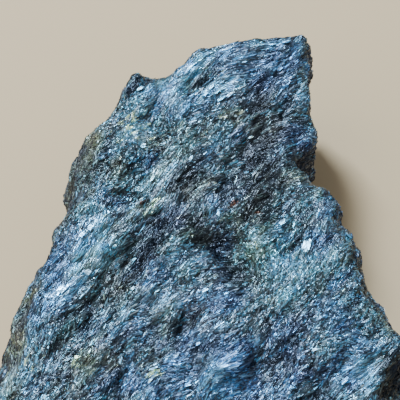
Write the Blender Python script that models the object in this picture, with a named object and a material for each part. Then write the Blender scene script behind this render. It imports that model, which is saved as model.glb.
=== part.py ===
"""A rough piece of nuummite, an amphibole schist, lying on a cleaved underside.

The stone is one solid. A block is lofted from the broken rim of its upper face, joint planes split
its corners off, and lens-shaped bundles of blades give every side its ledges and steps.
Lengths are in millimetres until the last step, which scales the mesh. +X is east and +Y is north.
"""

import math

import bmesh
import bpy
import numpy as np
from mathutils import Matrix, Vector, noise

NODE = "nuummite"
MM = 0.001

# The upper face: its height over the resting face at FACE_CENTRE, and how it falls away from there.
THICKNESS = 30.0
FACE_CENTRE = (1.0, -10.0)
RISE_EAST = 0.05
RISE_NORTH = 0.07
ROLL_OFF = 1.6  # how far the face drops over the last ROLL_WIDTH before the rim
ROLL_WIDTH = 0.12  # as a share of the way from the rim to the centre

# The broken rim of the upper face, seen from above, anticlockwise from the north-east corner: east,
# north, and how far the flank below stands outside the rim where it is widest.
RIM = (
    (25.8, 40.6, 0.6), (22.9, 40.8, 0.5), (21.2, 39.8, 0.5), (17.2, 39.4, 0.4), (13.7, 39.2, 0.3),
    (8.1, 39.4, 0.2), (3.0, 38.6, 0.1), (-0.8, 38.5, 0.0), (-1.4, 36.5, 0.1), (-4.0, 33.3, 0.1),
    (-7.9, 31.1, 0.2), (-12.4, 31.0, 0.2), (-14.6, 30.6, 0.3), (-15.4, 28.2, 0.3), (-17.8, 25.3, 0.4),
    (-20.2, 21.6, 0.5), (-23.1, 18.9, 2.8), (-23.4, 13.0, 6.2), (-23.5, 8.0, 7.6), (-26.0, 2.0, 3.4),
    (-28.5, -4.0, 2.4), (-30.5, -10.0, 3.4), (-33.0, -15.0, 4.4), (-34.5, -20.5, 4.6), (-35.0, -27.0, 5.6),
    (-34.0, -33.5, 8.6), (-35.5, -40.0, 9.6), (-36.0, -46.0, 8.5), (-37.5, -53.0, 6.5), (-34.0, -60.0, 5.0),
    (-26.0, -63.5, 5.0), (-15.0, -66.5, 5.0), (-5.0, -64.5, 5.0), (6.0, -67.0, 5.0), (15.0, -63.0, 5.0),
    (24.0, -60.5, 5.0), (31.0, -55.0, 5.0), (34.5, -48.0, 7.5), (36.0, -41.0, 6.8), (40.3, -34.2, 4.4),
    (38.3, -29.7, 3.3), (36.1, -26.0, 3.0), (33.4, -21.8, 2.7), (33.4, -17.0, 2.2), (32.5, -9.1, 1.5),
    (29.1, -5.6, 1.4), (30.7, -2.1, 1.3), (26.6, 2.5, 1.2), (24.0, 2.5, 0.9), (22.8, 5.0, -0.5),
    (19.9, 7.8, -1.5), (21.0, 10.4, -0.8), (24.6, 13.6, 0.4), (24.3, 17.0, 0.9), (23.5, 25.0, 0.7),
    (23.2, 32.7, 0.6),
)  # fmt: skip
BELLY = 0.5  # the level of the widest place, as a share of the way down
FOOT_INSET = 7.0  # how far inside the rim the flank meets the resting face

# Joint planes that split corners off the block: a point on each, the compass angle that it faces
# and how steeply it faces up.
JOINTS = (
    ((0.0, -67.5, 15.0), 265, 12),  # south end
    ((33.0, -58.0, 14.0), 318, 8),  # south-east corner
    ((-35.0, -60.0, 14.0), 232, -6),  # south-west corner
    ((-37.0, -36.0, 7.0), 205, -38),  # under the west flank
    ((-27.0, 12.0, 8.0), 160, -32),  # under the north-west flank
    ((8.0, 42.0, 9.0), 96, -38),  # under the north edge
    ((25.0, 30.0, 9.0), 20, -30),  # under the north-east corner
    ((37.0, -22.0, 8.0), 345, -35),  # under the east edge
)

# Ridges and hollows of the upper face: where, the compass angle of their length, half their length
# and width, and how far they stand over the face.
SWELLS = (
    (-26.0, -13.5, 72, 11.0, 3.2, 1.7),  # ridge along the west rim
    (-15.5, -15.0, 56, 16.0, 3.0, -2.8),  # the long hollow beside it
    (-6.5, -12.0, 56, 12.0, 3.4, 1.3),
    (4.5, -11.5, -42, 7.5, 2.8, -2.2),  # hollow that crosses the fabric
    (14.5, -15.0, -55, 9.0, 4.0, 1.8),  # fold below it
    (11.0, 11.5, 52, 15.0, 4.5, -2.2),  # the valley down from the north-east
    (21.5, 13.0, 75, 8.0, 3.5, -1.6),
    (-1.0, 29.0, 62, 5.5, 2.0, -2.2),
    (6.5, 26.5, 35, 6.0, 3.0, 1.2),
    (11.5, 37.5, 9, 11.0, 2.8, 1.5),  # crest behind the north rim
    (-14.4, 29.0, 66, 4.6, 1.5, 2.6),  # horn at the north-west corner
    (-11.4, 29.6, 66, 4.2, 1.4, -1.9),
    (-18.0, 4.5, 60, 9.0, 3.0, 1.2),
    (-12.0, 3.5, 60, 9.0, 2.0, -1.3),
    (-6.0, 12.0, 52, 10.0, 3.5, 1.0),
    (-3.0, -28.5, 55, 5.0, 2.6, -2.2),
    (15.0, -36.5, 45, 5.0, 2.8, -1.3),
    (6.5, -37.0, 35, 6.5, 2.4, 1.6),
    (8.5, -42.5, 30, 7.0, 2.0, -1.2),
    (24.5, -9.5, 68, 9.0, 4.5, 1.1),
    (28.0, -30.0, 60, 8.0, 4.5, 1.3),
    (-20.0, -36.0, 58, 9.0, 3.0, 1.3),
    (-13.0, -38.0, 55, 10.0, 2.4, -1.5),
    (-12.0, -53.0, 50, 10.0, 4.0, 1.6),
    (-2.0, -53.0, 48, 10.0, 3.0, -2.4),
    (14.0, -53.0, 42, 9.0, 4.0, 1.4),
    (25.0, -44.0, 52, 9.0, 3.0, -1.5),
)

# The fabric: blades lie in bundles shaped like lenses, flat in the plane of the upper face. Each is
# its length, width and thickness, how far it leans from end to end, and how far it stands over the
# next one.
FIBRE_ANGLE = 50.0  # the way the blades run, anticlockwise from east
BUNDLES = ((13.0, 3.8, 3.0), 1.9, 0.7)
SPALLS = ((34.0, 17.0, 9.0), 4.0, 2.0)  # the pieces that have come off the flanks
FOLD = 3.5  # how far the fabric is bent out of line
FOLD_LENGTH = 26.0
GRAIN = 0.3  # height of the rough grain
GRAIN_LENGTH = 3.0
SEED = 7

VOXEL = 0.9
TRIANGLES = 9700
SUNK = 1.0  # how much of the rough underside is ground off to the flat that it rests on
FLAT = 0.06  # what stands less than this over the resting face is part of it


def clear_scene():
    for obj in list(bpy.data.objects):
        bpy.data.objects.remove(obj, do_unlink=True)


def upper_face(x, y):
    """Height of the upper face, before it is roughened."""
    east, north = x - FACE_CENTRE[0], y - FACE_CENTRE[1]
    return THICKNESS + RISE_EAST * east + RISE_NORTH * north


def rim_point(i):
    x, y, reach = RIM[i % len(RIM)]
    return Vector((x, y)), reach


def flank_ring(level):
    """The outline of the block at this share of the way down from the rim."""
    ring = []
    for i in range(len(RIM)):
        point, reach = rim_point(i)
        along = rim_point(i + 3)[0] - rim_point(i - 3)[0]
        if level <= BELLY:
            shift = reach * math.sin(math.pi / 2 * level / BELLY)
        else:
            under = math.pi / 2 * (level - BELLY) / (1 - BELLY)
            shift = reach * math.cos(under) - FOOT_INSET * (1 - math.cos(under))
        outside = point + Vector((along.y, -along.x)).normalized() * shift
        z = (upper_face(*point) - ROLL_OFF) * (1 - level)
        ring.append((*outside, z))
    return ring


def face_ring(share):
    """A ring on the upper face, this share of the way from the rim to the centre."""
    ring = []
    for i in range(len(RIM)):
        x, y = rim_point(i)[0].lerp(Vector(FACE_CENTRE), share)
        drop = ROLL_OFF * max(0.0, 1 - share / ROLL_WIDTH) ** 2
        ring.append((x, y, upper_face(x, y) - drop))
    return ring


def rough_block():
    """The block as one closed bmesh: rings from the middle of the upper face down to the foot."""
    rings = [face_ring(share) for share in (0.9, 0.7, 0.5, 0.3, 0.12, 0.06)]
    rings += [flank_ring(level) for level in (0.0, 0.15, 0.3, 0.5, 0.7, 0.85, 1.0)]
    bm = bmesh.new()
    loops = [[bm.verts.new(co) for co in ring] for ring in rings]
    for upper, lower in zip(loops, loops[1:]):
        for i in range(len(upper)):
            j = (i + 1) % len(upper)
            bm.faces.new((upper[i], lower[i], lower[j], upper[j]))
    bm.faces.new(loops[0])
    bm.faces.new(reversed(loops[-1]))
    return bm


def split_at_joints(bm):
    for point, facing, rise in JOINTS:
        facing, rise = math.radians(facing), math.radians(rise)
        flat = math.cos(rise)
        normal = Vector((math.cos(facing) * flat, math.sin(facing) * flat, math.sin(rise)))
        cut = bmesh.ops.bisect_plane(
            bm, geom=bm.verts[:] + bm.edges[:] + bm.faces[:], plane_co=point, plane_no=normal, clear_outer=True
        )
        edges = [e for e in cut["geom_cut"] if isinstance(e, bmesh.types.BMEdge)]
        bmesh.ops.holes_fill(bm, edges=edges)
    bmesh.ops.triangulate(bm, faces=bm.faces[:])
    bmesh.ops.recalc_face_normals(bm, faces=bm.faces[:])


def evenly_meshed(mesh):
    """The mesh again as even squares, one VOXEL across."""
    obj = bpy.data.objects.new("block", mesh)
    bpy.context.scene.collection.objects.link(obj)
    remesh = obj.modifiers.new("even", "REMESH")
    remesh.mode = "VOXEL"
    remesh.voxel_size = VOXEL
    graph = bpy.context.evaluated_depsgraph_get()
    even = bpy.data.meshes.new_from_object(obj.evaluated_get(graph))
    bpy.data.objects.remove(obj)
    return even


def vectors(mesh, source, field):
    values = np.empty(3 * len(mesh.vertices))
    getattr(mesh, source).foreach_get(field, values)
    return values.reshape(-1, 3)


def swell_height(x, y):
    height = np.zeros_like(x)
    for cx, cy, angle, length, width, rise in SWELLS:
        along, across = math.cos(math.radians(angle)), math.sin(math.radians(angle))
        u = ((x - cx) * along + (y - cy) * across) / length
        v = ((y - cy) * along - (x - cx) * across) / width
        height += rise * np.exp(-(u**2) - v**2)
    return height


def lens_height(point, size, lean, step):
    """How far the lens of this size that holds the point stands out: its own step, and its lean."""
    bend = noise.noise_vector(point / FOLD_LENGTH) * FOLD
    turned = Matrix.Rotation(-math.radians(FIBRE_ANGLE), 3, "Z") @ (point + bend)
    place = Vector(a / b for a, b in zip(turned, size))
    centre = noise.voronoi(place)[1][0]
    chance = noise.cell_vector(centre * 37.0) - Vector((0.5, 0.5, 0.5))
    return lean * (place - centre).dot(chance) + step * chance.x * 2


def relief(point, out):
    height = lens_height(point, *BUNDLES) + GRAIN * noise.fractal(point / GRAIN_LENGTH, 0.9, 2.1, 3)
    return height + (1 - abs(out.z)) * min(0.0, lens_height(point, *SPALLS))


def cleave(mesh):
    """Raises the ridges of the upper face, then every lens and the grain along the normals."""
    co, out = vectors(mesh, "vertices", "co"), vectors(mesh, "vertex_normals", "vector")
    faces_up = np.clip((out[:, 2] - 0.2) / 0.6, 0, 1) * (co[:, 2] > THICKNESS / 2)
    co[:, 2] += faces_up * swell_height(co[:, 0], co[:, 1])
    co += out * np.array([[relief(Vector(p), Vector(n))] for p, n in zip(co, out)])
    mesh.vertices.foreach_set("co", co.ravel())
    mesh.update()


def thinned(mesh):
    """The mesh as TRIANGLES triangles, with the flat places thinned out most."""
    obj = bpy.data.objects.new("rough", mesh)
    bpy.context.scene.collection.objects.link(obj)
    obj.modifiers.new("triangles", "TRIANGULATE")
    thin = obj.modifiers.new("thin_out", "DECIMATE")
    thin.ratio = TRIANGLES / (2 * len(mesh.polygons))
    graph = bpy.context.evaluated_depsgraph_get()
    thin_mesh = bpy.data.meshes.new_from_object(obj.evaluated_get(graph))
    bpy.data.objects.remove(obj)
    return thin_mesh


def grind_foot(mesh, depth):
    """Lowers the stone by this much and flattens what is then under the resting face."""
    co = vectors(mesh, "vertices", "co")
    co[:, 2] -= depth
    co[co[:, 2] < FLAT, 2] = 0.0
    mesh.vertices.foreach_set("co", co.ravel())
    mesh.update()


def centre_on_foot(mesh):
    """Puts the origin under the middle of the stone's box, on the resting face."""
    co = vectors(mesh, "vertices", "co")
    middle = (co.min(0) + co.max(0)) / 2
    mesh.transform(Matrix.Translation((-middle[0], -middle[1], 0.0)))


def schist():
    material = bpy.data.materials.new("amphibole_schist")
    material.use_nodes = True
    shader = material.node_tree.nodes["Principled BSDF"]
    shader.inputs["Base Color"].default_value = (0.045, 0.075, 0.11, 1.0)
    shader.inputs["Roughness"].default_value = 0.42
    shader.inputs["Metallic"].default_value = 0.35
    return material


def stone():
    noise.seed_set(SEED)
    bm = rough_block()
    split_at_joints(bm)
    block = bpy.data.meshes.new("block")
    bm.to_mesh(block)
    bm.free()
    rough = evenly_meshed(block)
    cleave(rough)
    even = evenly_meshed(rough)
    grind_foot(even, SUNK)
    mesh = thinned(even)
    grind_foot(mesh, 0.0)
    centre_on_foot(mesh)
    mesh.transform(Matrix.Scale(MM, 4))
    mesh.name = NODE
    mesh.materials.append(schist())
    bpy.context.scene.collection.objects.link(bpy.data.objects.new(NODE, mesh))


clear_scene()
stone()
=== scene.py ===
"""Looks of the raw nuummite: a cleaved, dark amphibole schist with a silky blue sheen.

The stone's own mesh is a fine copy of the solid, roughened along its fabric. Splinters of
amphibole, the blades that part along the cleavage, lie over it in their thousands, and a few large,
clean flakes lie among them. Lengths in the named values are in millimetres; +X is east and +Y is
north.
"""

import math

import bmesh
import bpy
import numpy as np
from mathutils import Matrix, Vector, noise

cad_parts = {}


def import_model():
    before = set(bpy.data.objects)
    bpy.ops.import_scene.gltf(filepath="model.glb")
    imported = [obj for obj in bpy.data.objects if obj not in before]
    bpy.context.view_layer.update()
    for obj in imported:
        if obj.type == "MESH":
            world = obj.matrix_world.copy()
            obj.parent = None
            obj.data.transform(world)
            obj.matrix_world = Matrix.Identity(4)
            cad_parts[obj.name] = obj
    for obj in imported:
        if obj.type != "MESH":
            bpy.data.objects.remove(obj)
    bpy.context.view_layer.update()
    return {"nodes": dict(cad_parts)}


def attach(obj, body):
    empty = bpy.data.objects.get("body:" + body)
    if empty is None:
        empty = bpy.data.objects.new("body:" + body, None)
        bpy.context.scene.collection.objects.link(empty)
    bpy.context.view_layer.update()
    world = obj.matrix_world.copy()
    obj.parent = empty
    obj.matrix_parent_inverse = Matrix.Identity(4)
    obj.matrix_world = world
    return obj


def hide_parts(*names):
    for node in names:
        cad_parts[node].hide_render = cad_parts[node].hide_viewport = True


MM = 0.001
SEED = 11
CHART = "OFBake"  # the map that the looks are drawn on

# The fabric, the way the blades run: anticlockwise from east on the upper face, with places where
# it is folded: east, north, radius and by how many degrees it is turned there.
FIBRE_ANGLE = 50.0
TURNS = (
    (10.6, 48.5, 7.0, -42.0),
    (17.8, 42.0, 4.0, 12.0),
    (5.0, 40.8, 5.0, -22.0),
    (-14.3, 35.0, 6.0, -8.0),
    (-8.0, 34.0, 4.0, 10.0),
    (5.0, 25.5, 5.0, -16.0),
    (-8.0, 25.5, 5.0, -16.0),
    (18.0, 28.5, 6.0, -36.0),
    (-20.4, 20.0, 4.0, -14.0),
    (-7.0, 13.5, 8.0, 14.0),
    (-20.0, 5.5, 5.0, 12.0),
    (8.0, 6.5, 6.0, -20.0),
    (23.0, 5.0, 4.5, 24.0),
    (1.6, -0.3, 5.5, -30.0),
    (6.0, -4.7, 5.0, -36.0),
    (15.5, -2.5, 5.5, 36.0),
    (-24.0, -1.0, 8.0, 9.0),
    (-1.2, -12.0, 6.0, -20.0),
    (-13.4, -15.5, 4.5, -20.0),
    (-35.0, -20.0, 8.0, 30.0),
    (-19.5, -20.5, 4.0, 16.0),
    (-6.0, -24.5, 4.5, -50.0),
    (6.5, -26.0, 6.0, -34.0),
    (31.0, -21.0, 6.0, -38.0),
)
FOLD = 0.8  # how far the smaller folds carry a point, and how long they are
FOLD_LENGTH = 13.0

# The stone's surface: the size of its squares and, for each size of packet that the blades grew
# in, its length, width and thickness, how far it leans from end to end, how far it stands over the
# next, how far its blades are turned out of line and rolled over, in degrees, and how much lighter
# or darker it is.
SQUARE = 0.53
PACKETS = (
    ((9.0, 3.6, 2.8), 0.8, 0.22, 14.0, 5.0, 0.12),
    ((4.2, 1.8, 1.4), 0.5, 0.14, 22.0, 10.0, 0.17),
    ((1.8, 0.85, 0.7), 0.3, 0.12, 26.0, 20.0, 0.22),
)
GROOVE = 0.10  # depth of the lines between packets
GROOVE_WIDTH = 0.09  # their half width, as a share of the packet
GROOVE_SHADE = 0.9  # how much of a packet's tone is lost in one
PACKET_TINT = 0.22  # how far chance turns a packet's tint and its cast
PACKET_CAST = 0.3
PITS = 0.25  # depth of the weathered flanks' pitting
PIT_LENGTH = 1.8
RAGGED_LENGTH = 2.5  # the two noises that make edges ragged
FINE_LENGTH = 0.9
FINE_RISE = 0.05  # how far the finer one raises the surface
PACKET_SHIFT = (1.1, 0.35, 0.3)  # how far they move the packets' edges: along, across and over
BAND_SHIFT = 1.2  # and the edges of bands, tints and casts
FOOT_HEIGHT = 0.25  # the resting face and its edge stay flat up to here
FOOT_RISE = 1.5  # from here up the surface is as rough as elsewhere
HOLLOW_DEPTH = 0.7  # a hollow of at least this depth is fully in shade, a rise fully in light
HOLLOW_SHADE = 0.35
# Painted light on walls that look south-west, painted shade on those that look south-east, and
# darkening where weathered; and a bluer painted shade to the south-east.
WALL_PAINTED_LIGHT_AND_WEAR = (0.35, -0.6, -0.9)  # a wall's painted light and shade: south-west, south-east, and where weathered
PAINTED_SHADE_BLUE = 1.6  # how much bluer the painted shade is to the south-east

# How many rounds of averaging take out the steps between the squares, give the way that a whole
# side faces, and give the broad form that a hollow lies under.
EVEN_ROUNDS = 3
SIDE_ROUNDS = 24
FORM_ROUNDS = 140

# Painted light and shade on the upper face: bands painted lighter where the cleavage catches the
# light and darker where it lies in shade: east, north, half length, half width, the angle that
# they run at, and how much lighter or darker they are.
PAINTED_LIGHT_AND_SHADE = (
    (10.6, 47.5, 11.0, 2.6, 5.0, 0.40),  # painted sheen on the silky band along the north edge
    (-1.1, 46.5, 3.5, 2.2, 40.0, 1.25),
    (3.9, 40.1, 5.2, 2.1, 28.0, 1.35),  # a painted highlight on the cleavage under it
    (-7.0, 41.5, 4.8, 2.3, 38.0, 1.15),
    (-4.7, 38.0, 4.0, 2.6, 30.0, 0.60),
    (5.6, 32.1, 2.2, 1.2, 34.0, 0.45),
    (-12.3, 33.1, 2.6, 1.5, 20.0, 0.35),
    (-19.0, 20.4, 5.5, 2.2, 65.0, 0.20),
    (-8.4, 17.8, 5.0, 1.4, 65.0, 0.40),
    (-22.8, 7.9, 5.5, 2.7, 50.0, 0.75),  # painted light on the western ridge
    (-23.9, -0.8, 10.0, 3.1, 62.0, 0.85),
    (-6.1, 1.3, 3.2, 2.0, 50.0, 0.40),
    (10.8, 2.8, 3.2, 2.0, 70.0, 0.85),
    (16.4, 6.0, 2.6, 2.2, 40.0, 0.80),
    (22.6, 5.0, 2.4, 1.2, 72.0, 0.60),
    (18.8, -3.8, 3.0, 2.0, 50.0, 0.50),
    (28.1, 0.3, 2.8, 1.7, 70.0, 0.40),
    (27.0, 7.6, 1.8, 1.4, 60.0, 0.15),
    (-5.8, -10.2, 3.8, 2.4, 8.0, 0.95),
    (0.6, -7.6, 1.8, 1.4, 40.0, 0.55),
    (14.2, -9.2, 5.5, 2.2, 15.0, 0.65),
    (4.4, -26.4, 4.2, 3.2, 20.0, 1.55),
    (-5.3, -22.0, 2.9, 1.6, 15.0, 0.60),
    (-37.3, -22.5, 6.5, 3.6, 66.0, 0.65),
    (-0.2, 41.0, 2.8, 0.7, 72.0, -1.20),  # painted shade in a deep cleft
    (-14.6, 41.4, 3.2, 0.9, 68.0, -1.30),  # the shaded side of the horn
    (12.2, 37.7, 6.0, 1.8, 80.0, -0.95),
    (17.5, 28.5, 4.2, 2.8, 40.0, -1.05),
    (22.1, 24.6, 2.4, 2.0, 0.0, -1.10),  # painted shade on the knob
    (11.4, 18.0, 12.0, 4.0, 80.0, -0.95),  # painted shade in the long valley
    (-3.7, 18.6, 4.6, 2.9, 55.0, -1.20),
    (2.7, 14.4, 5.2, 2.3, 34.0, -0.20),
    (-10.8, 1.6, 7.0, 2.4, 57.0, -1.15),  # painted shade in the trough beside the ridge
    (-20.9, -4.0, 4.2, 1.3, 65.0, -0.10),
    (-4.3, 8.5, 3.6, 3.0, 0.0, -1.15),
    (11.8, 8.4, 3.2, 2.6, 40.0, -0.45),
    (2.5, 4.5, 3.0, 2.2, 0.0, -0.85),  # painted shade in the hollow
    (5.3, -2.4, 3.6, 2.8, -40.0, -0.95),
    (-4.4, -13.4, 4.4, 1.9, 25.0, -0.40),
    (-4.0, -12.7, 1.2, 2.2, 0.0, 0.70),
    (9.8, -23.6, 2.2, 1.8, 50.0, -0.85),
    (16.8, -22.0, 3.6, 1.6, 23.0, -0.35),
    (20.4, -15.0, 3.0, 1.9, 20.0, -0.35),
    (-26.2, -11.2, 4.5, 2.0, 30.0, -0.40),
    (-13.1, 28.0, 4.8, 4.2, 0.0, 0.85),  # painted sparkle on the grains
    (-12.8, 18.5, 3.8, 3.0, 60.0, 1.00),
    (-13.5, 37.0, 3.0, 2.5, 40.0, 0.40),
    (-4.6, 29.0, 4.0, 3.5, 40.0, 0.30),
    (3.9, 27.8, 4.0, 3.2, 40.0, 0.50),
    (-28.2, -6.5, 2.6, 1.1, 65.0, 0.30),
    (-28.7, -9.5, 3.5, 2.5, 50.0, 0.30),
    (-4.5, -1.5, 3.0, 2.4, 45.0, 0.25),
    (3.6, -10.0, 3.4, 3.0, 20.0, 0.25),
    (27.1, -19.6, 4.0, 3.4, 40.0, 0.45),
    (11.4, -27.2, 3.4, 2.8, 30.0, 0.40),
    (36.8, -26.5, 6.0, 2.0, 63.0, -1.80),
    (-20.0, -0.3, 4.0, 2.2, 62.0, 1.05),
    (19.0, -2.2, 9.5, 4.0, -4.0, 0.85),
    (25.0, -11.2, 8.5, 3.8, -12.0, 0.45),
    (30.5, -26.4, 4.4, 4.0, 30.0, 0.95),
    (20.8, -26.0, 3.6, 3.0, 30.0, -0.55),
    (-27.0, 14.5, 8.5, 4.0, 90.0, -0.16),
    (-12.6, -21.0, 6.5, 3.0, 80.0, 0.35),
    (35.1, -19.3, 4.0, 3.4, 60.0, 0.35),
)

# Single clean flakes that catch the light: east, north, length, width, the angle that they run at
# and how light they are, which is a painted highlight.
FLAKES = (
    (21.7, 2.0, 3.4, 1.6, 76.0, 1.05),
    (-23.2, 6.6, 1.7, 0.9, 62.0, 1.70),
    (-24.7, 4.6, 1.7, 0.9, 62.0, 1.30),
    (-28.3, -7.0, 3.2, 1.5, 50.0, 1.80),
    (-23.1, -2.9, 1.6, 1.1, 60.0, 1.50),
    (-18.0, 2.9, 0.9, 0.6, 60.0, 0.80),
    (-12.4, 26.1, 1.2, 0.9, 20.0, 0.95),
    (-13.5, 40.4, 2.2, 0.7, 45.0, 0.80),
    (3.8, 9.8, 1.2, 0.6, 60.0, 0.70),
    (10.6, 28.6, 1.1, 0.6, 40.0, 0.70),
    (-2.7, -27.8, 1.6, 0.7, 20.0, 0.70),
    (-21.8, -19.1, 1.6, 0.7, 80.0, 0.80),
    (-24.7, -22.2, 1.2, 0.7, 0.0, 0.70),
    (0.6, -7.9, 1.4, 0.8, 40.0, 0.70),
    (-2.5, 22.4, 1.6, 0.6, 60.0, 0.80),
    (4.1, 32.4, 1.8, 0.6, 40.0, 0.70),
    (7.3, 33.3, 0.9, 0.7, 0.0, 0.80),
    (-14.0, 1.0, 1.1, 0.6, 60.0, 0.65),
    (17.1, 44.6, 1.5, 0.6, 45.0, 0.80),
    (6.6, -24.6, 2.8, 0.7, 20.0, 0.80),
    (3.9, -24.9, 2.4, 0.6, 20.0, 0.80),
    (3.9, -28.5, 1.5, 0.6, 20.0, 0.70),
    (22.0, -21.4, 1.3, 0.6, 30.0, 0.70),
    (4.6, 37.3, 2.6, 0.7, 40.0, 0.90),
    (6.2, 37.9, 1.8, 0.6, 40.0, 0.80),
    (0.7, 38.2, 1.8, 0.6, 40.0, 0.70),
    (2.6, 40.4, 2.2, 0.6, 55.0, 0.80),
    (3.6, 39.2, 1.8, 0.5, 45.0, 0.80),
    (-13.7, -7.6, 1.1, 0.6, 40.0, 0.65),
    (20.7, 39.0, 1.6, 0.6, 45.0, 0.80),
    (21.8, 41.2, 1.8, 0.6, 45.0, 0.80),
    (14.8, -18.0, 1.1, 0.6, 30.0, 0.65),
    (28.1, -27.5, 2.2, 0.7, 40.0, 0.70),
    (-0.6, -19.1, 1.2, 0.6, 20.0, 0.65),
    (-10.1, 18.5, 1.6, 0.6, 60.0, 0.70),
    (18.8, 51.0, 2.4, 0.6, 10.0, 0.70),
    (15.5, 50.6, 2.0, 0.5, 8.0, 0.70),
    (16.4, 6.0, 1.4, 0.8, 30.0, 0.70),
    (30.0, 4.2, 1.8, 0.6, -40.0, 0.70),
)
FLAKE_HEIGHT = 0.5
FLAKE_STEPS = (-0.3, 0.0, 0.3)  # where across it the blades that it is made of lie
FLAKE_BLADE = (0.8, 0.5)  # how long and how wide each of them is, as shares of the flake
FLAKE_SLIP = 0.4  # how far along the flake chance may move one, as a share of its length
FLAKE_LIFT = (0.5, 0.3)  # how high one lies and what chance adds, as shares of its height
FLAKE_DULL = 0.4  # how much duller than the brightest chance may make one
FLAKE_FACE = (-0.2, 0.03, 0.98)  # the way that a clean flake is cleaved towards the window's light

# Painted shade in clefts between blades, with the same columns as the bands.
PAINTED_CLEFT_SHADE = (
    (-15.6, 39.5, 0.9, 0.6, 60.0, -1.2),
    (19.9, 2.8, 1.0, 0.6, 76.0, -1.2),
    (1.6, 41.4, 1.2, 0.5, 60.0, -1.2),
    (-1.3, 38.3, 1.2, 0.5, 60.0, -1.0),
    (4.9, -26.6, 1.0, 0.5, 30.0, -1.2),
    (25.9, 14.1, 1.2, 0.6, 50.0, -1.0),
    (-15.4, 21.5, 1.2, 0.6, 30.0, -1.0),
    (1.2, -19.7, 1.4, 0.6, 20.0, -1.2),
    (7.8, -20.7, 1.2, 0.6, 40.0, -1.2),
    (35.2, -12.0, 1.2, 0.6, 0.0, -1.0),
    (32.5, -1.5, 1.0, 0.6, 0.0, -1.0),
    (22.7, 50.0, 2.2, 0.6, 85.0, -1.0),
    (-26.2, 27.4, 1.2, 0.8, 60.0, -1.0),
    (9.2, 48.4, 2.8, 0.35, -7.0, -1.0),
    (11.1, 49.7, 3.6, 0.35, -10.0, -1.1),
    (11.9, 47.4, 1.2, 0.8, -8.0, -0.9),
    (17.8, 49.2, 2.0, 1.2, 40.0, -0.7),
    (13.1, 42.3, 1.6, 0.5, 75.0, -0.8),
    (11.1, 40.4, 1.6, 0.9, 40.0, -0.7),
    (15.3, 40.6, 2.6, 0.7, 60.0, -0.8),
    (-0.6, 44.1, 1.8, 0.6, 60.0, -1.0),
)

# Places with a tint of their own: east, north, radius and how much bluer (over nought) or, under
# nought, how much nearer to olive and brown they are.
TINTS = (
    (-8.0, 40.5, 6.0, 0.4),
    (-13.0, 38.5, 4.0, 0.3),
    (3.0, 46.0, 6.0, 0.4),
    (12.7, 42.0, 4.0, 1.0),
    (18.5, 48.0, 5.0, 0.9),
    (8.5, 41.0, 4.0, 0.2),
    (6.5, 28.6, 2.5, 0.5),
    (0.7, 21.7, 2.5, 0.5),
    (-19.6, 25.6, 2.0, 0.6),
    (-30.7, -2.3, 4.5, 1.2),
    (-32.6, -12.8, 3.0, 0.8),
    (-8.5, -4.7, 2.5, 0.5),
    (16.4, 3.2, 2.5, 0.5),
    (22.5, 4.0, 2.0, 0.6),
    (5.3, -10.5, 3.5, 1.0),
    (-2.4, -17.7, 3.0, 0.6),
    (-4.3, -22.9, 4.0, 0.9),
    (6.4, -23.9, 4.5, 0.9),
    (29.5, -18.5, 4.0, 1.2),
    (28.9, -25.7, 4.0, 0.8),
    (17.9, -15.9, 4.0, 0.3),
    (-11.8, -27.5, 3.5, 0.8),
    (-14.3, 30.0, 3.5, -0.6),
    (-12.2, 27.1, 2.0, -0.6),
    (-17.3, 19.5, 2.8, -0.8),
    (-11.2, 11.9, 1.5, -1.2),
    (-4.0, 15.6, 2.5, -0.4),
    (7.1, 33.1, 1.8, -0.8),
    (12.5, 33.0, 3.5, -0.6),
    (18.9, 18.6, 2.5, -0.7),
    (12.0, 20.0, 8.0, -0.4),
    (13.5, 31.0, 5.0, -0.2),
    (6.3, 11.7, 1.5, -0.5),
    (12.4, 7.5, 2.0, -0.5),
    (-19.3, -3.3, 3.0, -0.6),
    (-15.7, -5.7, 3.0, -0.8),
    (-23.0, -22.4, 2.0, -0.9),
    (-17.8, -22.5, 2.0, -0.8),
    (-26.2, -19.8, 4.0, -0.4),
    (-9.9, -21.5, 2.5, -0.4),
    (19.5, 37.5, 4.0, 0.5),
    (19.5, 28.0, 3.5, 0.5),
    (-21.5, 28.0, 4.0, -0.5),
    (-4.0, 29.0, 5.0, -0.7),
    (-36.0, -9.0, 5.0, -0.4),
    (-20.0, -9.5, 4.0, -0.4),
    (-5.0, -27.0, 4.0, 0.6),
    (20.5, -26.0, 4.5, 0.5),
    (20.0, -17.5, 4.0, 0.4),
    (-35.0, -5.0, 1.5, -2.2),
    (-38.1, -15.2, 1.9, -1.8),
    (-23.5, 30.0, 2.2, -1.2),
    (-25.0, 20.0, 3.0, 0.1),
    (4.0, -17.5, 4.0, 0.3),
    (10.0, -26.0, 13.0, 0.4),
    (4.0, 3.0, 4.0, 0.5),
    (26.0, 2.0, 4.0, 0.5),
    (-28.0, 3.0, 3.5, 0.8),
    (-28.5, -9.0, 4.0, 0.4),
    (-12.5, 18.0, 3.5, -0.35),
    (19.5, 24.0, 4.0, 0.3),
    (10.2, 1.0, 3.0, -0.8),
    (-0.8, 5.0, 2.6, -0.8),
    (13.0, 4.5, 2.2, -0.5),
)

# Places with a cast: nearer to violet (over nought) or to sea green (under it).
CASTS = (
    (15.8, -0.5, 8.0, -0.6),
    (-16.9, 3.5, 4.0, -0.5),
    (-5.0, 33.0, 5.0, -0.4),
    (13.0, -23.5, 8.0, 0.7),
    (-0.4, -13.0, 6.0, 0.5),
    (-3.4, -9.9, 2.5, 0.6),
    (20.0, 28.0, 5.0, 0.5),
    (9.2, 24.3, 3.0, 0.5),
    (-12.6, -2.8, 4.0, 0.4),
)

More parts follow.
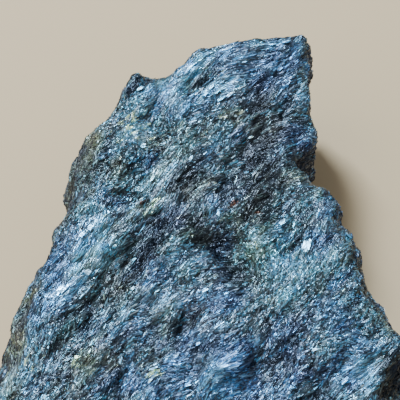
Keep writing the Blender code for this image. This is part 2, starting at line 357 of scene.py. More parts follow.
# Specks of another mineral: east, north, radius and how golden or, under nought, rusty they are.
SPECKS = (
    (-14.5, 30.0, 5.5, 0.36),
    (-18.0, 32.0, 1.2, 0.28),
    (-16.0, 34.0, 1.1, 0.25),
    (-12.2, 28.6, 1.4, 0.28),
    (8.0, 34.2, 0.9, 0.9),
    (4.6, 33.2, 1.2, 0.5),
    (4.4, 43.9, 0.8, 0.7),
    (-9.8, 13.4, 0.9, 0.95),
    (-10.8, 12.0, 0.9, 0.95),
    (-11.7, 10.5, 0.8, 0.9),
    (24.6, 2.2, 0.8, 0.6),
    (-9.6, -25.6, 1.5, 0.55),
    (-25.0, -22.0, 2.2, 0.45),
    (-34.0, -22.0, 2.5, 0.4),
    (6.5, 11.8, 1.0, -1.4),
    (12.0, 9.5, 0.7, -1.1),
    (4.0, 43.8, 1.0, -0.6),
    (-12.4, 13.4, 1.3, -0.55),
)

WHOLE_SPECK = 0.65  # a place surer than this is one speck, and elsewhere they are grains
SPECK_SIZE = (0.9, 0.7, 0.7)  # of such a grain
SPECK_SHARE = 0.24  # how many of the grains are of that mineral
SPECK_TRACE = 0.4  # how much of it every grain has, and what those have over that
SPECK_FULL = 2.0

# Where the blades run most nearly in line: east, north, half length, half width, the angle that
# the place runs at and how much.
CALM = (
    (10.0, 46.5, 16.0, 5.0, 8.0, 0.8),
    (4.0, 40.0, 6.0, 3.0, 28.0, 0.5),
    (-24.0, -0.5, 13.0, 4.5, 62.0, 0.7),
    (31.0, -27.0, 6.0, 3.5, 40.0, 0.9),
    (6.4, -23.5, 4.5, 2.6, 20.0, 0.7),
    (-8.5, -10.5, 3.0, 2.2, 45.0, 0.6),
    (-8.5, 17.0, 6.0, 2.0, 60.0, 0.6),
    (-18.0, -13.0, 9.0, 3.0, 40.0, 0.4),
    (-6.0, 13.0, 15.0, 7.0, 57.0, 0.4),
    (13.0, 31.0, 10.0, 6.0, 55.0, 0.35),
    (-8.0, 39.0, 6.0, 4.0, 40.0, 0.4),
    (2.0, -20.0, 18.0, 8.0, 28.0, 0.35),
)

GRAINY_LENGTH = 8.0  # the noise that makes some places grainy and others not

# Where the blades are short grains that lie all ways, in the same way.
GRAINY = (
    (-14.0, 28.0, 7.0, 6.0, 0.0, 0.8),
    (15.5, -1.0, 6.0, 5.0, 0.0, 0.4),
    (24.0, -9.0, 12.0, 9.0, 0.0, 0.4),
)

# Weathered rims, rough, matt and brown, in the same way.
WEATHERED = (
    (-26.0, 22.0, 10.0, 2.8, 72.0, 1.1),
    (-37.0, -14.5, 11.0, 2.2, 80.0, 1.0),
)

# The splinters: about how many a piece, the least length, width and height, what chance adds to
# each, and how far one rolls, tips and turns out of line, in radians.
SPLINTERS_EACH = 24500
LEAST_SIZE = (0.4, 0.11, 0.10)
ADDED_SIZE = (2.0, 0.38, 0.24)
SWAY = (0.50, 0.10, 0.22)

# A splinter's square of its chart: how wide it is drawn there, and from where and how tall its
# cleaved faces are, and its keel.
BLADE_CHART = (0.88, (0.42, 0.52), (0.06, 0.32))

# Which part of the stone each piece of splinters covers: north of here, south of here or between
# on the upper face, and the flanks from this height up, but not what looks down more than this.
NORTH_FROM = 20.0
SOUTH_FROM = -14.0
FLANKS_FROM = 1.5
UNDERSIDE = -0.75


def add(tree, kind, inputs=None, stops=(), **settings):
    """Adds a node with its settings and gives its outputs; each input is a value, or one to link."""
    node = tree.nodes.new(kind)
    for name, value in settings.items():
        setattr(node, name, value)
    for key, value in (inputs or {}).items():
        if isinstance(value, bpy.types.NodeSocket):
            tree.links.new(value, node.inputs[key])
        else:
            node.inputs[key].default_value = value
    for i, (at, code) in enumerate(stops):
        element = node.color_ramp.elements[i] if i < 2 else node.color_ramp.elements.new(at)
        element.position = at
        element.color = linear(code)
    return node.outputs


def linear(code):
    """The linear colour of an sRGB hex value."""
    parts = [int(code[i : i + 2], 16) / 255 for i in (1, 3, 5)]
    return (*(c / 12.92 if c <= 0.04045 else ((c + 0.055) / 1.055) ** 2.4 for c in parts), 1.0)


# ---------------------------------------------------------------- mesh tools


def vectors(mesh, source, field):
    """One vector a vertex, such as its place, as rows."""
    values = np.empty(3 * len(mesh.vertices))
    getattr(mesh, source).foreach_get(field, values)
    return values.reshape(-1, 3)


def store(mesh, name, values):
    """Keeps one number or vector a vertex under this name."""
    kind, field = ("FLOAT", "value") if values.ndim == 1 else ("FLOAT_VECTOR", "vector")
    mesh.attributes.new(name, kind, "POINT").data.foreach_set(field, values.ravel())


def spread(mesh, values, rounds):
    """The values averaged with their neighbours along the edges, this many times."""
    edges = np.empty(2 * len(mesh.edges), int)
    mesh.edges.foreach_get("vertices", edges)
    a, b = edges.reshape(-1, 2).T
    count = np.bincount(np.concatenate((a, b)), minlength=len(values))
    wide = values.reshape(len(values), -1)
    for _ in range(rounds):
        total = np.stack(
            [
                np.bincount(a, column[b], len(values)) + np.bincount(b, column[a], len(values))
                for column in wide.T
            ],
            1,
        )
        wide = 0.5 * wide + 0.5 * total / count[:, None]
    return wide.reshape(values.shape)


def unit(v):
    """The vectors at a length of one."""
    return v / np.maximum(np.linalg.norm(v, axis=1, keepdims=True), 1e-9)


def plain_mesh(obj, name):
    """The object's evaluated mesh, under a new name; the object itself goes."""
    mesh = bpy.data.meshes.new_from_object(obj.evaluated_get(bpy.context.evaluated_depsgraph_get()))
    bpy.data.objects.remove(obj)
    mesh.name = name
    return mesh


def new_object(name, mesh):
    """An object of this mesh, in the scene."""
    obj = bpy.data.objects.new(name, mesh)
    bpy.context.scene.collection.objects.link(obj)
    return obj


# ---------------------------------------------------------------- fabric


def unfolded(p):
    """Points in millimetres turned to along, across and over the blades, the folds taken out."""
    q = p.copy()
    for x, y, radius, turn in TURNS:
        east, north = q[:, 0] - x, q[:, 1] - y
        angle = np.radians(-turn) * np.exp(-(east**2 + north**2) / radius**2)
        q[:, 0] = x + east * np.cos(angle) - north * np.sin(angle)
        q[:, 1] = y + east * np.sin(angle) + north * np.cos(angle)
    q += FOLD * np.array([noise.noise_vector(Vector(v) / FOLD_LENGTH) for v in q])
    a = math.radians(FIBRE_ANGLE)
    along = q[:, 0] * math.cos(a) + q[:, 1] * math.sin(a)
    across = q[:, 1] * math.cos(a) - q[:, 0] * math.sin(a)
    return np.stack((along, across, q[:, 2]), 1)


def fibre_direction(p):
    """The way the blades run at each point."""
    angle = np.radians(FIBRE_ANGLE + marked(p, round_marks(TURNS)))
    return np.stack((np.cos(angle), np.sin(angle), np.zeros(len(p))), 1)


def packets(place, size):
    """The packet each point is in: its six chances, where in it the point is, how near its edge."""
    chance, inside = np.empty((len(place), 6)), np.empty((len(place), 3))
    edge = np.empty(len(place))
    for i, p in enumerate(place / size):
        away, centres = noise.voronoi(Vector(p))
        # two places far apart in the cell noise give six chances
        chance[i] = (*noise.cell_vector(centres[0] * 37.0), *noise.cell_vector(centres[0] * 53.0))
        inside[i] = Vector(p) - centres[0]
        edge[i] = away[1] - away[0]
    return 2 * chance - 1, inside, edge


def fractal(p, length, octaves=3):
    """Noise of this length, with finer and weaker noise over it."""
    weaker, finer = 0.9, 2.1
    return np.array([noise.fractal(Vector(v) / length, weaker, finer, octaves) for v in p])


def round_marks(places):
    """Places with one radius as marks with the columns of the bands."""
    return [(x, y, radius, radius, 0.0, amount) for x, y, radius, amount in places]


def marked(p, marks):
    """What the marks, with the columns of the bands, add up to at each point."""
    total = np.zeros(len(p))
    for x, y, length, width, angle, amount in marks:
        a = math.radians(angle)
        east, north = p[:, 0] - x, p[:, 1] - y
        along = (east * math.cos(a) + north * math.sin(a)) / length
        across = (north * math.cos(a) - east * math.sin(a)) / width
        total += amount * np.exp(-(along**2) - across**2)
    return total


def turned(v, angle):
    """Vectors turned level by their own angles, in radians."""
    cos, sin = np.cos(angle), np.sin(angle)
    return np.stack((v[:, 0] * cos - v[:, 1] * sin, v[:, 0] * sin + v[:, 1] * cos, v[:, 2]), 1)


# ---------------------------------------------------------------- the stone's surface


def fine_stone(node):
    """A copy of the solid in even squares, roughened along the fabric.

    With it come the way that each vertex's side faces and how surely it is on the upper face.
    """
    bm = bmesh.new()
    bm.from_mesh(node.data)
    bmesh.ops.remove_doubles(bm, verts=bm.verts, dist=1e-6)
    mesh = bpy.data.meshes.new("solid")
    bm.to_mesh(mesh)
    bm.free()
    obj = new_object("solid", mesh)
    remesh = obj.modifiers.new("even", "REMESH")
    remesh.mode = "VOXEL"
    remesh.voxel_size = SQUARE * MM
    mesh = plain_mesh(obj, "nuummite")
    return mesh, *roughen(mesh)


def roughen(mesh):
    """Raises the packets of blades and keeps what the splinters and the finish go by."""
    p = vectors(mesh, "vertices", "co") / MM
    foot = p[:, 2] < FOOT_HEIGHT
    p = np.where(foot[:, None], p, spread(mesh, p, EVEN_ROUNDS))
    out = unit(spread(mesh, vectors(mesh, "vertex_normals", "vector"), 2))
    facing = unit(spread(mesh, out, SIDE_ROUNDS))
    ragged, fine = fractal(p, RAGGED_LENGTH), fractal(p, FINE_LENGTH)
    upper, weather = zones(p, facing, ragged)
    place, fibre = unfolded(p), fibre_direction(p)
    loose = place + np.stack((ragged, fine, ragged), 1) * PACKET_SHIFT
    rise, turn, roll, light, tint, cast = grown(loose)
    pitting = PITS * weather * fractal(p, PIT_LENGTH)
    rise = rise * (1 - 0.5 * weather) + FINE_RISE * fine + pitting
    rise *= np.clip(p[:, 2] / FOOT_RISE, 0, 1)
    p += out * rise[:, None]
    p[:, 2] = np.where(foot, 0.0, np.maximum(p[:, 2], 0.0))
    mesh.vertices.foreach_set("co", (p * MM).ravel())
    mesh.update()

    # the fine noise of other points is as good as a third noise
    moved = p + BAND_SHIFT * np.stack((ragged, np.roll(fine, 7), 0 * fine), 1)
    # painted shade in the hollows, and the painted light and shade of the bands and the clefts
    shade = HOLLOW_SHADE * hollows(mesh, p, facing)
    light += upper * (marked(moved, PAINTED_LIGHT_AND_SHADE) + marked(p, PAINTED_CLEFT_SHADE)) - shade
    # painted light and shade on the walls, with the darkening where weathered
    painted_wall_light_and_wear, painted_wall_shade_tint = paint_wall_light_and_wear(facing, weather)
    store(mesh, "fabric", place)
    store(mesh, "weather", weather)
    store(mesh, "light", light + painted_wall_light_and_wear)
    store(mesh, "tint", tint + painted_wall_shade_tint + upper * marked(moved, round_marks(TINTS)))
    store(mesh, "cast", cast + upper * marked(moved, round_marks(CASTS)))
    store(mesh, "speck", specks(p, loose, upper))
    keep_lie(mesh, p, facing, upper, fibre, turn, roll)
    return facing, upper


def zones(p, facing, ragged):
    """How surely each point is on the cleaved upper face, and how weathered it is.

    The upper face ends at a ragged line. The sides that look west, and the rims, are weathered.
    """
    upper = np.clip((facing[:, 2] - 0.25 + 0.1 * ragged) / 0.3, 0, 1)
    west = np.clip((-facing[:, 0] + 0.6 * facing[:, 1] - 0.1) / 0.5, 0, 1)
    side = np.clip((0.62 - facing[:, 2] + 0.14 * ragged) / 0.22, 0, 1)
    rim = np.clip(2 * marked(p, WEATHERED) - 0.6 + 0.5 * ragged, 0, 1)
    return upper, np.clip(side * np.clip(0.25 + west, 0, 1) + rim, 0, 1)


def grown(loose):
    """What the packets of every size add up to: rise, turn, roll, light, tint and cast."""
    rise, turn, roll, light, tint, cast = np.zeros((6, len(loose)))
    for size, lean, step, angle, over, tone in PACKETS:
        chance, inside, edge = packets(loose, size)
        gap = np.exp(-((edge / GROOVE_WIDTH) ** 2))
        rise += 0.5 * lean * (chance[:, :3] * inside).sum(1) + step * chance[:, 0] - GROOVE * gap
        turn += math.radians(angle) * chance[:, 1]
        roll += math.radians(over) * chance[:, 3]
        tint += PACKET_TINT * chance[:, 4]
        cast += PACKET_CAST * chance[:, 5]
        light += tone * (chance[:, 2] - GROOVE_SHADE * gap)
    return rise, turn, roll, light, tint, cast


def hollows(mesh, p, facing):
    """How far each point lies under the broad form around it, from -1 on a rise to 1."""
    depth = ((spread(mesh, p, FORM_ROUNDS) - p) * facing).sum(1)
    return np.clip(depth / HOLLOW_DEPTH, -1, 1)


def paint_wall_light_and_wear(facing, weather):
    """Painted light and shade on the walls: how much lighter and how much bluer each is for the way
    that it faces, lighter to the south-west, darker and bluer in shade to the south-east, and
    darker where weathered.
    """
    steep = np.clip(0.6 - facing[:, 2], 0, 0.4) / 0.4
    south_east = np.clip(0.8 * facing[:, 0] - 0.6 * facing[:, 1], 0, 1)
    south_west = np.clip(-0.6 * facing[:, 0] - 0.8 * facing[:, 1], 0, 1)
    painted_light_sw, painted_shade_se, weathered_darkening = WALL_PAINTED_LIGHT_AND_WEAR
    light = steep * (painted_light_sw * south_west + painted_shade_se * south_east + weathered_darkening * weather)
    return light, PAINTED_SHADE_BLUE * steep * south_east


def specks(p, loose, upper):
    """How golden or, under nought, rusty each point is: in whole specks or in scattered grains."""
    speck = upper * marked(p, round_marks(SPECKS))
    grain = packets(loose, SPECK_SIZE)[0][:, 0] > 1 - 2 * SPECK_SHARE
    grainy = speck * (SPECK_TRACE + SPECK_FULL * grain)
    return np.where(np.abs(speck) > WHOLE_SPECK, speck, grainy)


def keep_lie(mesh, p, facing, upper, fibre, turn, roll):
    """Keeps how the splinters lie: which way, how flat, how far out of line and of what size."""
    calm = upper * marked(p, CALM)
    grains = np.clip(0.9 * fractal(p, GRAINY_LENGTH, 2) + 0.2 - calm, 0, 1) + marked(p, GRAINY)
    grains = np.clip(grains, 0, 1)
    fibre = turned(fibre, turn * (1 - calm))
    lie = unit(spread(mesh, vectors(mesh, "vertex_normals", "vector"), 1))
    roll = roll[:, None] * (1 - 0.5 * calm[:, None])
    store(mesh, "fibre", fibre)
    store(mesh, "lie", unit(lie * np.cos(roll) + np.cross(fibre, lie) * np.sin(roll)))
    store(mesh, "loose", np.clip(1 + 3 * grains - 0.6 * calm, 0.3, None))
    # grains are short and broad, blades that run into the stone are short and calm ones are long
    end_on = np.abs((fibre * facing).sum(1))
    length = (1 - 0.4 * grains) * (1 - 0.6 * end_on**2) * (1 + 1.2 * calm)
    store(mesh, "span", np.stack((length, 1 + 0.6 * grains**2, np.ones(len(p))), 1))


# The stone's charts: the way the faces of each look, the two axes it lays out and its middle.
SHEETS = (
    ((0, 0, 1), (0, 1), (0.22, 0.285)),
    ((0, 0, -1), (0, 1), (0.72, 0.285)),
    ((1, 0, 0), (1, 2), (0.285, 0.58)),
    ((-1, 0, 0), (1, 2), (0.285, 0.79)),
    ((0, 1, 0), (0, 2), (0.782, 0.58)),
    ((0, -1, 0), (0, 2), (0.782, 0.79)),
)
SHEET_SCALE = 5.0  # how many of a chart's sides a metre would take up


def chart_stone(mesh, facing):
    """Lays the stone out on six flat charts, each face on the one it faces most."""
    corner = np.empty(len(mesh.loops), int)
    mesh.loops.foreach_get("vertex_index", corner)
    first, sides = np.empty((2, len(mesh.polygons)), int)
    mesh.polygons.foreach_get("loop_start", first)
    mesh.polygons.foreach_get("loop_total", sides)
    ways = np.array([way for way, _, _ in SHEETS])
    sheet = np.repeat((facing[corner[first]] @ ways.T).argmax(1), sides)
    p = vectors(mesh, "vertices", "co")[corner]
    chart = np.empty((len(corner), 2), np.float32)
    for i, (_, axes, middle) in enumerate(SHEETS):
        chart[sheet == i] = np.array(middle) + SHEET_SCALE * p[sheet == i][:, axes]
    mesh.uv_layers.new(name=CHART).uv.foreach_set("vector", chart.ravel())


# ---------------------------------------------------------------- materials

THIN_BLADE = (1.5, 0.28, 0.35)  # length, width and thickness of the blades that are only colour
THIN_FACETS = (2.2, 1.4, 1.4)  # how many facets such a blade has along, across and through it
LAID_FACETS = (3.0, 1.6, 1.0)  # and a laid one
GRIT = 0.1  # how far the grit on a facet stands out

# The mineral's colours from painted deep shade to the painted highlight of a clean flake: fresh
# and blue, fresh and green-grey, and weathered.
TONES = (0.0, 0.18, 0.34, 0.5, 0.65, 0.8, 1.0)
BLUE = ("#152035", "#283954", "#4c5e73", "#6889a5", "#5e9ed4", "#5ebcfc", "#a6deff")
GREEN = ("#1a232a", "#353f46", "#5d696c", "#7a9196", "#72afc5", "#70d2f2", "#aeecff")
EARTH = ("#1e1d19", "#403f37", "#66654f", "#8f9270", "#bcc49a", "#e0eabc", "#f8fff0")
CREAM = "#ecfcd0"  # grains of another mineral in a few places
RUST = "#6a4232"
# A thin film turns some of the faces towards sea green and others towards violet.
FILM = ((0.0, "#e0fcf2"), (0.5, "#f2f9fa"), (1.0, "#fcf0fc"))


def schist(name, body):
    """Amphibole schist as cleaved: a vitreous to silky mineral whose blades each catch the light
    their own way, so that it glitters; blue-grey where fresh, olive, brown and matt where weathered.
    """
    material = bpy.data.materials.new(name)
    material.use_nodes = True
    tree = material.node_tree
    own, stripes, height = thin_blades(tree) if body else laid_blades(tree)
    chance = add(tree, "ShaderNodeSeparateXYZ", {0: own})
    # each blade is cleaved along its length into facets, tipped their own ways
    facets = add(tree, "ShaderNodeTexVoronoi", {"Vector": stripes, "Scale": 1.0})["Color"]
    facet = add(tree, "ShaderNodeSeparateXYZ", {0: facets})
    graded = grades(tree, chance, facet, height)
    shader = tree.nodes["Principled BSDF"]
    tree.links.new(blade_colour(tree, graded), shader.inputs["Base Color"])
    tree.links.new(graded["roughness"], shader.inputs["Roughness"])
    tree.links.new(graded["metallic"], shader.inputs["Metallic"])
    tree.links.new(blade_relief(tree, facets, stripes), shader.inputs["Normal"])
    shader.inputs["IOR"].default_value = 1.64
    return material


def thin_blades(tree):
    """The body's blades, too thin to model: their chances and their facets' places, no height."""
    fabric = add(tree, "ShaderNodeAttribute", attribute_name="fabric")["Vector"]
    scale = tuple(1 / length for length in THIN_BLADE)
    blades = add(tree, "ShaderNodeVectorMath", {0: fabric, 1: scale}, operation="MULTIPLY")[0]
    own = add(tree, "ShaderNodeTexVoronoi", {"Vector": blades, "Scale": 1.0})["Color"]
    stripes = add(
        tree, "ShaderNodeVectorMath", {0: blades, 1: THIN_FACETS}, operation="MULTIPLY"
    )[0]
    return own, stripes, None


def laid_blades(tree):
    """The laid blades: their chances, their facets' places and the height within each blade."""
    own = add(tree, "ShaderNodeAttribute", attribute_name="chance")["Vector"]
    within = add(tree, "ShaderNodeAttribute", attribute_name="unit")["Vector"]
    height = add(tree, "ShaderNodeSeparateXYZ", {0: within})[2]
    apart = add(tree, "ShaderNodeVectorMath", {0: own, "Scale": 40.0}, operation="SCALE")[0]
    stripes = add(
        tree,
        "ShaderNodeVectorMath",
        {0: within, 1: LAID_FACETS, 2: apart},
        operation="MULTIPLY_ADD",
    )[0]
    return own, stripes, height


def grades(tree, chance, facet, height):
    """The tone, the kinds of colour and the sheen: each a sum of what was kept and of chance."""
    place = add(tree, "ShaderNodeTexCoord")["Object"]
    # the kept light holds painted light and shade as well as the packets' own tone
    weather, light, tint, cast, speck = (
        add(tree, "ShaderNodeAttribute", attribute_name=known)["Fac"]
        for known in ("weather", "light", "tint", "cast", "speck")
    )
    # patches of tone are about 5 mm wide and patches of colour about 8 mm
    broad = add(tree, "ShaderNodeTexNoise", {"Vector": place, "Scale": 210.0, "Detail": 4.0})["Fac"]
    patch = add(tree, "ShaderNodeTexNoise", {"Vector": place, "Scale": 130.0, "Detail": 3.0})["Color"]
    patch = add(tree, "ShaderNodeSeparateColor", {0: patch})
    # a few blades painted much lighter, as painted glints
    painted_glint = add(tree, "ShaderNodeMath", {0: chance[0], 1: 8.0}, operation="POWER")[0]
    rare = add(tree, "ShaderNodeMath", {0: chance[1], 1: 12.0}, operation="POWER")[0]
    lit = add(tree, "ShaderNodeMath", {0: chance[0], 1: 0.38, 2: 0.12}, operation="MULTIPLY_ADD")[0]
    tones = (
        (chance[0], 0.304),
        (facet[0], 0.208),
        (light, lit),
        (broad, 0.288),
        (painted_glint, 0.496),
        (weather, -0.104),
    )
    # what each grade comes to with no marks, and its shares; little light gets down between blades
    shares = {
        "tone": (-0.092, tones) if height is None else (-0.380, (*tones, (height, 0.64))),
        "bluer": (-1.06, ((patch[0], 2.2), (tint, 0.8), (chance[1], 0.14), (facet[1], 0.08))),
        "olive": (-0.87, ((patch[1], 1.6), (tint, -0.55), (weather, 0.5), (rare, 0.7))),
        "gold": (-1.0, ((chance[1], 0.8), (speck, 1.0))),
        "rust": (-1.0, ((chance[1], 0.8), (speck, -1.0))),
        "film": (0.47, ((chance[2], 0.14), (cast, 0.5))),
        "roughness": (0.13, ((chance[2], 0.24), (weather, 0.35))),
        "metallic": (0.55, ((weather, -0.45),)),
    }
    graded = {}
    for grade, (value, parts) in shares.items():
        for part, much in parts:
            value = add(
                tree, "ShaderNodeMath", {0: part, 1: much, 2: value}, operation="MULTIPLY_ADD"
            )[0]
        graded[grade] = value
    return graded


def blade_colour(tree, graded):
    """The mineral's colour, then its specks and the film on it."""
    blue, green, earth = (
        add(tree, "ShaderNodeValToRGB", {0: graded["tone"]}, stops=tuple(zip(TONES, codes)))[0]
        for codes in (BLUE, GREEN, EARTH)
    )
    colour = green
    for grade, over in (("bluer", blue), ("olive", earth)):
        colour = add(
            tree, "ShaderNodeMix", {0: graded[grade], 6: colour, 7: over}, data_type="RGBA"
        )[2]
    for grade, code in (("gold", CREAM), ("rust", RUST)):
        share = add(tree, "ShaderNodeMapRange", {0: graded[grade], 1: 0.0, 2: 0.1})[0]
        colour = add(
            tree, "ShaderNodeMix", {0: share, 6: colour, 7: linear(code)}, data_type="RGBA"
        )[2]
    film = add(tree, "ShaderNodeValToRGB", {0: graded["film"]}, stops=FILM)[0]
    return add(
        tree, "ShaderNodeMix", {0: 1.0, 6: colour, 7: film}, data_type="RGBA", blend_type="MULTIPLY"
    )[2]


def blade_relief(tree, facets, stripes):
    """The way that each facet is tipped, with grit on it."""
    grit = add(tree, "ShaderNodeTexNoise", {"Vector": stripes, "Scale": 2.0, "Detail": 3.0})["Fac"]
    tip = add(
        tree, "ShaderNodeVectorMath", {0: facets, 1: (0.5, 0.5, 0.5)}, operation="SUBTRACT"
    )[0]
    flat = add(tree, "ShaderNodeNewGeometry")["Normal"]
    tipped = add(
        tree,
        "ShaderNodeVectorMath",
        {0: tip, 1: (0.35, 0.35, 0.35), 2: flat},
        operation="MULTIPLY_ADD",
    )[0]
    tipped = add(tree, "ShaderNodeVectorMath", {0: tipped}, operation="NORMALIZE")[0]
    return add(
        tree,
        "ShaderNodeBump",
        {"Strength": 0.5, "Distance": GRIT * MM, "Height": grit, "Normal": tipped},
    )[0]


# ---------------------------------------------------------------- splinters


def splinter():
    """A blade of amphibole one unit long, wide and high: a flat cleaved face over a keel."""
    points = (
        (-0.5, -0.24, 0.42), (0.34, -0.5, 0.5), (0.5, 0.26, 0.42), (-0.36, 0.5, 0.5),
        (-0.28, 0.08, -0.5), (0.26, -0.1, -0.5),
    )  # fmt: skip
    bm = bmesh.new()
    for point in points:
        bm.verts.new(point)
    bmesh.ops.convex_hull(bm, input=bm.verts)
    bmesh.ops.recalc_face_normals(bm, faces=bm.faces[:])
    mesh = bpy.data.meshes.new("splinter")
    bm.to_mesh(mesh)
    bm.free()
    store(mesh, "unit", vectors(mesh, "vertices", "co"))
    chart = mesh.uv_layers.new(name=CHART).uv
    wide, cleaved, keel = BLADE_CHART
    for face in mesh.polygons:
        low, tall = cleaved if face.normal.z > 0 else keel
        for corner in face.loop_indices:
            east, north, _ = mesh.vertices[mesh.loops[corner].vertex_index].co
            chart[corner].vector = (0.5 + wide * east, low + tall * (north + 0.5))
    obj = new_object("splinter", mesh)
    obj.hide_render = True
    return obj


def splinter_tree(blade):
    """Lays blades on a surface: each along the fibre stored there and flat on the way it lies."""
    tree = bpy.data.node_groups.new("lay_splinters", "GeometryNodeTree")
    face = tree.interface
    face.new_socket("Geometry", in_out="OUTPUT", socket_type="NodeSocketGeometry")
    for name, kind in (
        ("Geometry", "NodeSocketGeometry"),
        ("Per Square Metre", "NodeSocketFloat"),
        ("Least Size", "NodeSocketVector"),
        ("Added Size", "NodeSocketVector"),
        ("Sway", "NodeSocketVector"),
        ("Seed", "NodeSocketInt"),
        ("Finish", "NodeSocketMaterial"),
    ):
        face.new_socket(name, in_out="INPUT", socket_type=kind)
    given = add(tree, "NodeGroupInput")
    share, loose, lie, fibre, span = (
        add(tree, "GeometryNodeInputNamedAttribute", {"Name": name}, data_type=kind)[0]
        for name, kind in (
            ("share", "FLOAT"),
            ("loose", "FLOAT"),
            ("lie", "FLOAT_VECTOR"),
            ("fibre", "FLOAT_VECTOR"),
            ("span", "FLOAT_VECTOR"),
        )
    )
    swing, rare, chance = (
        add(
            tree,
            "FunctionNodeRandomValue",
            {"Min": (least,) * 3, "Max": (1.0,) * 3, "Seed": seed},
            data_type="FLOAT_VECTOR",
        )[0]
        for least, seed in ((-1.0, 3), (0.0, 5), (0.0, 7))
    )
    density = add(
        tree, "ShaderNodeMath", {0: share, 1: given["Per Square Metre"]}, operation="MULTIPLY"
    )[0]
    points = add(
        tree,
        "GeometryNodeDistributePointsOnFaces",
        {"Mesh": given["Geometry"], "Density": density, "Seed": given["Seed"]},
        distribute_method="RANDOM",
    )["Points"]
    flat = add(tree, "FunctionNodeAlignRotationToVector", {"Vector": lie}, axis="Z")[0]
    along = add(
        tree,
        "FunctionNodeAlignRotationToVector",
        {"Rotation": flat, "Vector": fibre},
        axis="X",
        pivot_axis="Z",
    )[0]
    sway = add(tree, "ShaderNodeVectorMath", {0: swing, 1: given["Sway"]}, operation="MULTIPLY")[0]
    sway = add(tree, "ShaderNodeVectorMath", {0: sway, "Scale": loose}, operation="SCALE")[0]
    swayed = add(
        tree,
        "FunctionNodeRotateRotation",
        {"Rotation": along, "Rotate By": add(tree, "FunctionNodeEulerToRotation", {0: sway})[0]},
        rotation_space="LOCAL",
    )[0]
    # most blades are small and a few are big
    cubed = rare
    for _ in range(2):
        cubed = add(tree, "ShaderNodeVectorMath", {0: cubed, 1: rare}, operation="MULTIPLY")[0]
    size = add(
        tree,
        "ShaderNodeVectorMath",
        {0: cubed, 1: given["Added Size"], 2: given["Least Size"]},
        operation="MULTIPLY_ADD",
    )[0]
    size = add(tree, "ShaderNodeVectorMath", {0: size, 1: span}, operation="MULTIPLY")[0]
    shape = add(tree, "GeometryNodeObjectInfo", {"Object": blade})["Geometry"]
    laid = add(
        tree,
        "GeometryNodeInstanceOnPoints",
        {"Points": points, "Instance": shape, "Rotation": swayed, "Scale": size},
    )[0]
    toned = add(
        tree,
        "GeometryNodeStoreNamedAttribute",
        {"Geometry": laid, "Name": "chance", "Value": chance},
        data_type="FLOAT_VECTOR",
        domain="INSTANCE",
    )[0]
    real = add(tree, "GeometryNodeRealizeInstances", {"Geometry": toned})[0]
    done = add(tree, "GeometryNodeSetMaterial", {"Geometry": real, "Material": given["Finish"]})[0]
    add(tree, "NodeGroupOutput", {"Geometry": done})
    return tree


def lay_splinters(name, host, share, tree, corners, finish, seed):
    """One piece of splinters over the part of the host where share is over nought."""
    mesh = host.copy()
    store(mesh, "share", share)
    mesh.calc_loop_triangles()
    area = np.empty(len(mesh.loop_triangles))
    mesh.loop_triangles.foreach_get("area", area)
    corner = np.empty(3 * len(area), int)
    mesh.loop_triangles.foreach_get("vertices", corner)
    density = SPLINTERS_EACH / (area * share[corner].reshape(-1, 3).mean(1)).sum()
    obj = new_object(name, mesh)
    modifier = obj.modifiers.new("splinters", "NODES")
    modifier.node_group = tree
    values = {
        "Per Square Metre": float(density),
        "Least Size": tuple(MM * v for v in LEAST_SIZE),
        "Added Size": tuple(MM * v for v in ADDED_SIZE),
        "Sway": SWAY,
        "Seed": seed,
        "Finish": finish,
    }
    for item in tree.interface.items_tree:
        if item.in_out == "INPUT" and item.name in values:
            modifier[item.identifier] = values[item.name]
    mesh = plain_mesh(obj, name)
    chart_blades(mesh, corners)
    return new_object(name, mesh)


def chart_blades(mesh, corners):
    """Gives each blade its own square of the piece's chart."""
    chart = np.empty(2 * len(mesh.loops), np.float32)
    mesh.uv_layers[CHART].uv.foreach_get("vector", chart)
    blade = np.arange(len(mesh.loops)) // corners
    wide = math.ceil(math.sqrt(blade[-1] + 1))
    chart = (chart.reshape(-1, 2) + np.stack((blade % wide, blade // wide), 1)) / wide
    mesh.uv_layers[CHART].uv.foreach_set("vector", chart.astype(np.float32).ravel())


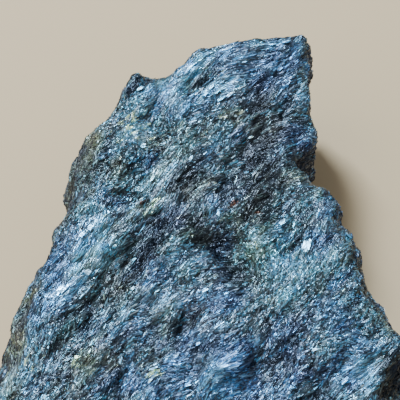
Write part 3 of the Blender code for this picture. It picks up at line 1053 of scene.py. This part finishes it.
def lay_flakes(name, host, facing, blade, finish):
    """The clean flakes: large blades, each of them flat on the host at its own place."""
    p = vectors(host, "vertices", "co")
    chance = np.random.default_rng(SEED).random((len(FLAKES), len(FLAKE_STEPS), 3))
    long, wide = FLAKE_BLADE
    spots = []
    bm = bmesh.new()
    for (x, y, length, width, angle, _), slips in zip(FLAKES, chance[:, :, 1] - 0.5):
        # the nearest vertex that looks up
        away = (p[:, 0] / MM - x) ** 2 + (p[:, 1] / MM - y) ** 2
        spot = int(np.where(facing[:, 2] > 0.5, away, np.inf).argmin())
        spots.append(spot)
        up = Vector(facing[spot]) + Vector(FLAKE_FACE)
        up.normalize()
        run = Vector((math.cos(math.radians(angle)), math.sin(math.radians(angle)), 0.0))
        side = up.cross(run).normalized()
        turn = Matrix((side.cross(up), side, up)).transposed().to_4x4()
        size = Matrix.Diagonal((long * length * MM, wide * width * MM, FLAKE_HEIGHT * MM, 1.0))
        for step, slip in zip(FLAKE_STEPS, slips):
            laid = len(bm.verts)
            bm.from_mesh(blade.data)
            bm.verts.ensure_lookup_table()
            lift = (FLAKE_LIFT[0] + FLAKE_LIFT[1] * slip) * FLAKE_HEIGHT
            shift = run * FLAKE_SLIP * slip * length + side * step * width + up * lift
            place = Matrix.Translation(Vector(p[spot]) + shift * MM) @ turn @ size
            bmesh.ops.transform(bm, matrix=place, verts=bm.verts[laid:])
    mesh = bpy.data.meshes.new(name)
    bm.to_mesh(mesh)
    bm.free()
    each = len(blade.data.vertices) * len(FLAKE_STEPS)
    values = np.empty(len(p))
    for field in ("weather", "tint", "cast", "speck"):
        host.attributes[field].data.foreach_get("value", values)
        store(mesh, field, np.repeat(values[spots], each))
    # each flake's painted highlight
    store(mesh, "light", np.repeat([row[5] for row in FLAKES], each))
    chance[:, :, 0] = 1 - FLAKE_DULL * chance[:, :, 0]
    store(mesh, "chance", np.repeat(chance.reshape(-1, 3), len(blade.data.vertices), 0))
    chart_blades(mesh, len(blade.data.loops))
    mesh.materials.append(finish)
    return new_object(name, mesh)


# ---------------------------------------------------------------- studio


LIT_POINT = Vector((0.0, 0.0, 0.02))  # what the lights are aimed at, in metres
FLOOR_REACH = 3.0  # how far the floor goes on each side, in metres


def soft_light(name, place, width, watts, colour):
    """A square lamp at a place and of a width in metres, aimed at the stone."""
    data = bpy.data.lights.new(name, "AREA")
    data.size = width
    data.energy = watts
    data.color = linear(colour)[:3]
    lamp = bpy.data.objects.new(name, data)
    bpy.context.scene.collection.objects.link(lamp)
    place = Vector(place)
    aim = (place - LIT_POINT).to_track_quat("Z", "Y")
    lamp.matrix_world = Matrix.Translation(place) @ aim.to_matrix().to_4x4()


def studio():
    """The light of the room, two lamps and the floor."""
    world = bpy.data.worlds.new("studio")
    bpy.context.scene.world = world
    world.use_nodes = True
    back = world.node_tree.nodes["Background"]
    back.inputs["Color"].default_value = linear("#dce6f3")
    back.inputs["Strength"].default_value = 0.44
    soft_light("window", (-0.42, 0.75, 1.00), 0.3, 33.0, "#d4e7fd")
    soft_light("reflector", (-0.95, -0.30, 1.15), 1.3, 8.0, "#f5f4f2")
    # matt paint on a smooth board
    floor = bpy.data.materials.new("painted_board")
    floor.use_nodes = True
    board = floor.node_tree.nodes["Principled BSDF"]
    board.inputs["Base Color"].default_value = linear("#d6b98e")
    board.inputs["Roughness"].default_value = 0.8
    bm = bmesh.new()
    bmesh.ops.create_grid(bm, x_segments=1, y_segments=1, size=FLOOR_REACH)
    mesh = bpy.data.meshes.new("floor")
    bm.to_mesh(mesh)
    bm.free()
    mesh.materials.append(floor)
    new_object("floor", mesh)


# The camera looks at this point from the south, this high over level and this far away.
VIEW_TARGET = (-0.4, 13.92, 28.0)
VIEW_RISE = 58.0  # degrees
VIEW_DISTANCE = 300.0
VIEW_WIDTH = 84.0  # what it takes in at the target


def camera():
    """A camera that looks north and down at the target."""
    data = bpy.data.cameras.new("camera")
    data.sensor_width = 36.0
    data.lens = data.sensor_width * VIEW_DISTANCE / VIEW_WIDTH
    obj = bpy.data.objects.new("camera", data)
    bpy.context.scene.collection.objects.link(obj)
    rise = math.radians(VIEW_RISE)
    back = Vector((0.0, -math.cos(rise), math.sin(rise)))
    place = (Vector(VIEW_TARGET) + back * VIEW_DISTANCE) * MM
    obj.matrix_world = Matrix.Translation(place) @ back.to_track_quat("Z", "Y").to_matrix().to_4x4()
    bpy.context.scene.camera = obj


def main():
    """Dresses the solid and says what each piece rides on."""
    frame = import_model()
    noise.seed_set(SEED)
    camera()
    studio()

    mesh, facing, upper = fine_stone(frame["nodes"]["nuummite"])
    mesh.materials.clear()
    mesh.materials.append(schist("amphibole_schist_cleaved", True))
    _, north, up = vectors(mesh, "vertices", "co").T / MM
    shares = {
        "splinters_north": upper * (north > NORTH_FROM),
        "splinters_middle": upper * (north <= NORTH_FROM) * (north > SOUTH_FROM),
        "splinters_south": upper * (north <= SOUTH_FROM),
        "splinters_flanks": (1 - upper) * (up > FLANKS_FROM) * (facing[:, 2] > UNDERSIDE),
    }
    blade = splinter()
    tree = splinter_tree(blade)
    finish = schist("amphibole_splinters", False)
    pieces = [
        lay_splinters(name, mesh, share, tree, len(blade.data.loops), finish, seed)
        for seed, (name, share) in enumerate(shares.items(), 1)
    ]
    pieces.append(lay_flakes("clean_flakes", mesh, facing, blade, finish))
    bpy.data.objects.remove(blade)
    chart_stone(mesh, facing)
    stone = new_object("stone", mesh)
    for piece in (stone, *pieces):
        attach(piece, "root")
    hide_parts("nuummite")


main()
